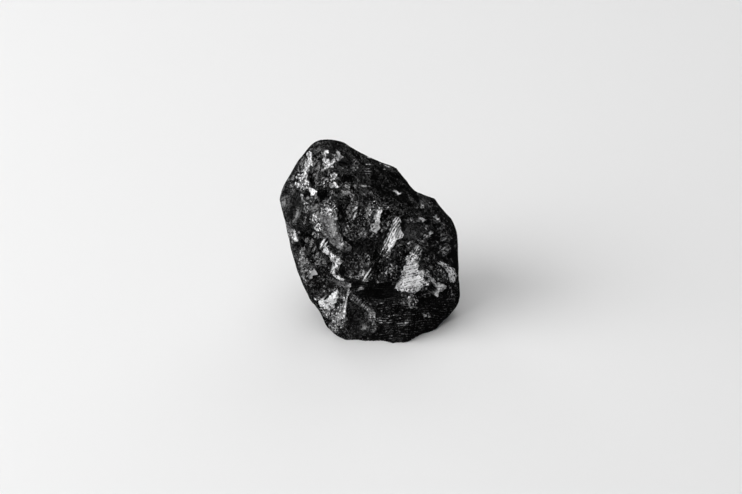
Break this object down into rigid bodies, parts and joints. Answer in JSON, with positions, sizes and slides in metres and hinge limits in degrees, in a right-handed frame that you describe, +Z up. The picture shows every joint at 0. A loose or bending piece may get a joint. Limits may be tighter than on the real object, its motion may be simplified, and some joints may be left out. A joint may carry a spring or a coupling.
{
  "type": "rough diamond",
  "caption": "Uncut black rough diamond: an upright, blocky natural crystal lump with broken faces, pits and ridges, resting on a flat underside.",
  "frame": {"origin": "under the middle of the stone, on the surface it stands on", "axes": "+Z up from the flat underside; -Y towards the broad front face, which leans back; +X to the right of that face"},
  "size_m": [0.0218, 0.0179, 0.0199],
  "materials": {
    "black_crystal": "near-black adamantine crystal with greyer frosted patches, glassy hollows and bright broken edges"
  },
  "bodies": {
    "root": {"rough_diamond": "black_crystal"}
  },
  "joints": []
}
